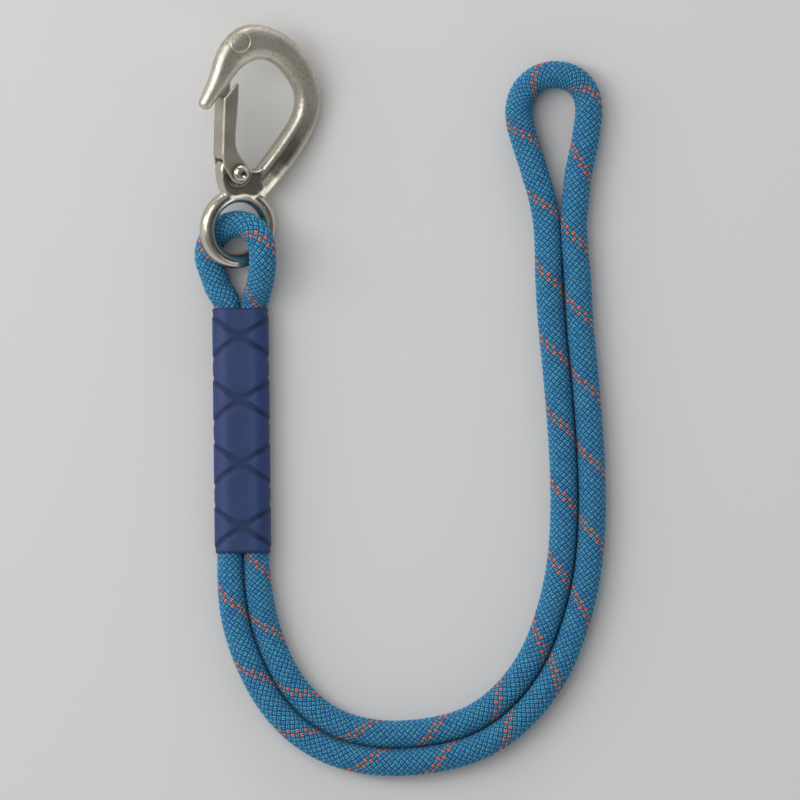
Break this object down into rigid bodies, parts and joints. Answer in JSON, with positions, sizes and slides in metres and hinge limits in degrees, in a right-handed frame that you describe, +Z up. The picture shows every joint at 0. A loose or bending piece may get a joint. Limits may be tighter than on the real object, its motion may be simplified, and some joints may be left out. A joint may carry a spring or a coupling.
{
  "type": "snap hook rope lanyard",
  "caption": "Doubled braided rope lanyard lying in a U, with a heat-shrink sleeve over its splice, a forged steel snap hook in its small eye and an open loop at the far end.",
  "frame": {"origin": "On the surface the lanyard lies on, under the middle of the snap hook's bounding box.", "axes": "+Z up from the surface. +Y from the U's bend towards the hook's bow, along the hook. +X from the hook across the U to the rope's open loop."},
  "size_m": [0.1792, 0.3274, 0.0305],
  "materials": {
    "sheath_blue": "braided polyester, blue with orange tracer",
    "core_white": "twisted nylon",
    "cover_navy": "moulded to the rope below, satin",
    "thread_navy": "bonded thread",
    "forged_steel": "forged and tumbled",
    "sheet_steel": "pressed sheet, grained",
    "rivet_steel": "polished dome",
    "spring_steel": "drawn wire"
  },
  "bodies": {
    "lanyard": {"rope_sheath": "sheath_blue", "core_strand_1": "core_white", "core_strand_2": "core_white", "core_strand_3": "core_white", "heat_shrink_sleeve": "cover_navy", "splice_stitching_front": "thread_navy", "splice_stitching_back": "thread_navy"},
    "hook": {"hook_body": "forged_steel", "gate_rivet": "rivet_steel"},
    "gate": {"gate": "sheet_steel", "gate_spring": "spring_steel"}
  },
  "joints": [
    {"name": "hook_swing", "type": "hinge", "parent": "lanyard", "child": "hook", "pos_m": [-0.0094, -0.03545, 0.01209], "axis": [0.433, -0.1365, 0.891], "range_deg": [0, 110]},
    {"name": "gate_hinge", "type": "hinge", "parent": "hook", "child": "gate", "pos_m": [-0.01043, -0.01096, 0.01634], "axis": [-0.433, 0.1365, -0.891], "range_deg": [0, 48], "stiffness_Nm_per_rad": 0.03, "springref_deg": -34.38}
  ]
}
